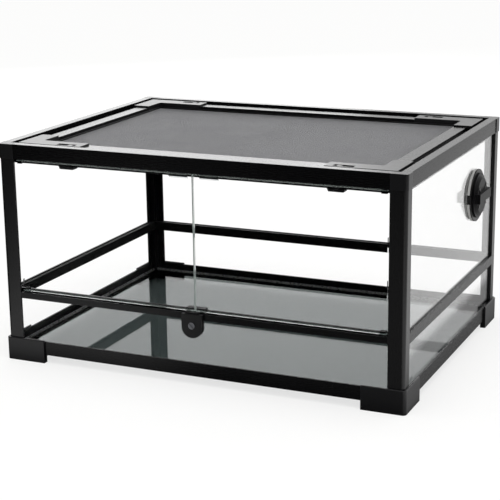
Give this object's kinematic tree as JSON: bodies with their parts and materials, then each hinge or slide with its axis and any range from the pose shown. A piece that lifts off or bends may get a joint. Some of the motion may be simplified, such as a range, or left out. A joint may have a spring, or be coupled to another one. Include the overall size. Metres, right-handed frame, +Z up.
{
  "type": "reptile terrarium",
  "caption": "Glass reptile terrarium with a black frame, hinged front doors and latch, a turning lead port and a lift-off mesh lid held by sliding latches.",
  "frame": {"origin": "middle of the whole object's plan, at the underside of the feet", "axes": "+Z up, -Y out of the front with the doors, +X to the right side with the port"},
  "size_m": [0.621, 0.46, 0.32],
  "materials": {
    "moulded_black": "satin",
    "frame_rail": "gloss",
    "fitting_plastic": "matte",
    "port_cap": "satin",
    "lid_plastic": "satin",
    "lid_bar": "satin",
    "floor_glass": "clear",
    "wall_glass": "clear",
    "door_glass": "clear",
    "wire_mesh": "satin",
    "spline_rubber": "matte",
    "strike_steel": "brushed",
    "magnet": "matte",
    "lock_steel": "polished"
  },
  "bodies": {
    "frame": {"foot_front_left": "moulded_black", "foot_front_right": "moulded_black", "foot_rear_left": "moulded_black", "foot_rear_right": "moulded_black", "bottom_rail_front": "frame_rail", "bottom_rail_rear": "frame_rail", "bottom_rail_left": "frame_rail", "bottom_rail_right": "frame_rail", "floor_glass": "floor_glass", "post_front_left": "frame_rail", "post_front_right": "frame_rail", "post_rear_left": "frame_rail", "post_rear_right": "frame_rail", "front_sill": "frame_rail", "mid_rail_rear": "frame_rail", "mid_rail_left": "frame_rail", "mid_rail_right": "frame_rail", "top_rail_front": "frame_rail", "top_rail_rear": "frame_rail", "top_rail_left": "frame_rail", "top_rail_right": "frame_rail", "top_corner_front_left": "moulded_black", "top_corner_front_right": "moulded_black", "top_corner_rear_left": "moulded_black", "top_corner_rear_right": "moulded_black", "lower_glass_front": "wall_glass", "lower_glass_rear": "wall_glass", "lower_glass_left": "wall_glass", "lower_glass_right": "wall_glass", "upper_glass_rear": "wall_glass", "upper_glass_left": "wall_glass", "upper_glass_right": "wall_glass", "door_magnets": "magnet", "latch_plate": "fitting_plastic", "latch_block": "fitting_plastic", "port_ring": "fitting_plastic", "port_nut": "fitting_plastic"},
    "door_left": {"door_glass_left": "door_glass", "door_hinges_left": "fitting_plastic", "door_strike_left": "strike_steel"},
    "door_right": {"door_glass_right": "door_glass", "door_hinges_right": "fitting_plastic", "door_strike_right": "strike_steel"},
    "lock": {"lock_barrel": "lock_steel"},
    "catch": {"latch_catch": "fitting_plastic"},
    "port_cap": {"port_cap": "port_cap"},
    "lid": {"lid_bar_front": "lid_bar", "lid_bar_rear": "lid_bar", "lid_bar_left": "lid_bar", "lid_bar_right": "lid_bar", "lid_corner_front_left": "lid_plastic", "lid_corner_front_right": "lid_plastic", "lid_corner_rear_left": "lid_plastic", "lid_corner_rear_right": "lid_plastic", "lid_mesh": "wire_mesh", "mesh_spline": "spline_rubber"},
    "latch_front_left": {"lid_latch_front_left": "lid_plastic"},
    "latch_front_right": {"lid_latch_front_right": "lid_plastic"},
    "latch_rear_left": {"lid_latch_rear_left": "lid_plastic"},
    "latch_rear_right": {"lid_latch_rear_right": "lid_plastic"}
  },
  "joints": [
    {"name": "door_left_swing", "type": "hinge", "parent": "frame", "child": "door_left", "pos_m": [-0.278, -0.2185, 0.2], "axis": [0, 0, -1], "range_deg": [0, 110]},
    {"name": "door_right_swing", "type": "hinge", "parent": "frame", "child": "door_right", "pos_m": [0.267, -0.2185, 0.2], "axis": [0, 0, 1], "range_deg": [0, 110]},
    {"name": "lock_turn", "type": "hinge", "parent": "frame", "child": "lock", "pos_m": [-0.007, -0.229, 0.087], "axis": [0, -1, 0], "range_deg": [0, 90]},
    {"name": "catch_rise", "type": "slide", "parent": "frame", "child": "catch", "axis": [0, 0, 1], "range_m": [0, 0.005]},
    {"name": "port_turn", "type": "hinge", "parent": "frame", "child": "port_cap", "pos_m": [0.3015, 0.1055, 0.224], "axis": [1, 0, 0], "range_deg": [0, 90]},
    {"name": "lid_lift", "type": "slide", "parent": "frame", "child": "lid", "axis": [0, 0, 1], "range_m": [0, 0.045]},
    {"name": "latch_front_left_slide", "type": "slide", "parent": "lid", "child": "latch_front_left", "axis": [-1, 0, 0], "range_m": [0, 0.012]},
    {"name": "latch_front_right_slide", "type": "slide", "parent": "lid", "child": "latch_front_right", "axis": [1, 0, 0], "range_m": [0, 0.012]},
    {"name": "latch_rear_left_slide", "type": "slide", "parent": "lid", "child": "latch_rear_left", "axis": [-1, 0, 0], "range_m": [0, 0.012]},
    {"name": "latch_rear_right_slide", "type": "slide", "parent": "lid", "child": "latch_rear_right", "axis": [1, 0, 0], "range_m": [0, 0.012]}
  ],
  "couplings": [
    {"joint": "lock_turn", "follows": "catch_rise", "rad_per_m": 314.16}
  ]
}
